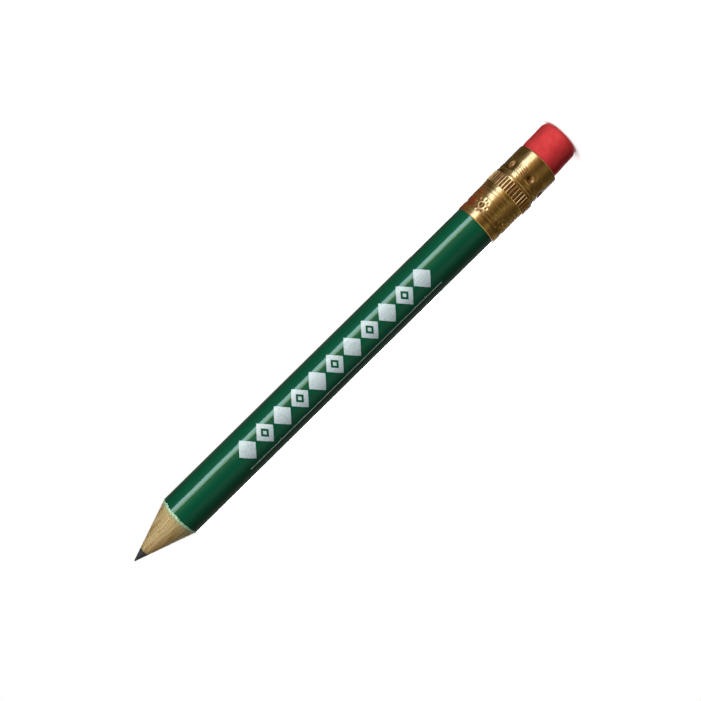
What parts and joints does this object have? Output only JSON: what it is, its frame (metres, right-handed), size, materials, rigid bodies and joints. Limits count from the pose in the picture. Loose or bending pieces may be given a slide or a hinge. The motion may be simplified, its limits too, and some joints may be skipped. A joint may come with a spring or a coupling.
{
  "type": "short pencil",
  "caption": "Short round wooden pencil, green lacquer, sharpened to a slightly worn point, with a red rubber eraser in a crimped and fluted brass ferrule.",
  "frame": {"origin": "centre of the eraser's flat end, which the pencil stands on", "axes": "+Z along the pencil from the eraser to the point; -Y is the printed side, which is the front"},
  "size_m": [0.0078, 0.0078, 0.092],
  "materials": {
    "graphite_lead": "satin",
    "basswood": "matte",
    "green_lacquer": "gloss",
    "brass": "polished",
    "eraser_rubber": "matte"
  },
  "bodies": {
    "root": {"lead_core": "graphite_lead", "front_slat": "basswood", "back_slat": "basswood", "lacquer_coat": "green_lacquer", "ferrule": "brass", "eraser_plug": "eraser_rubber"}
  },
  "joints": []
}
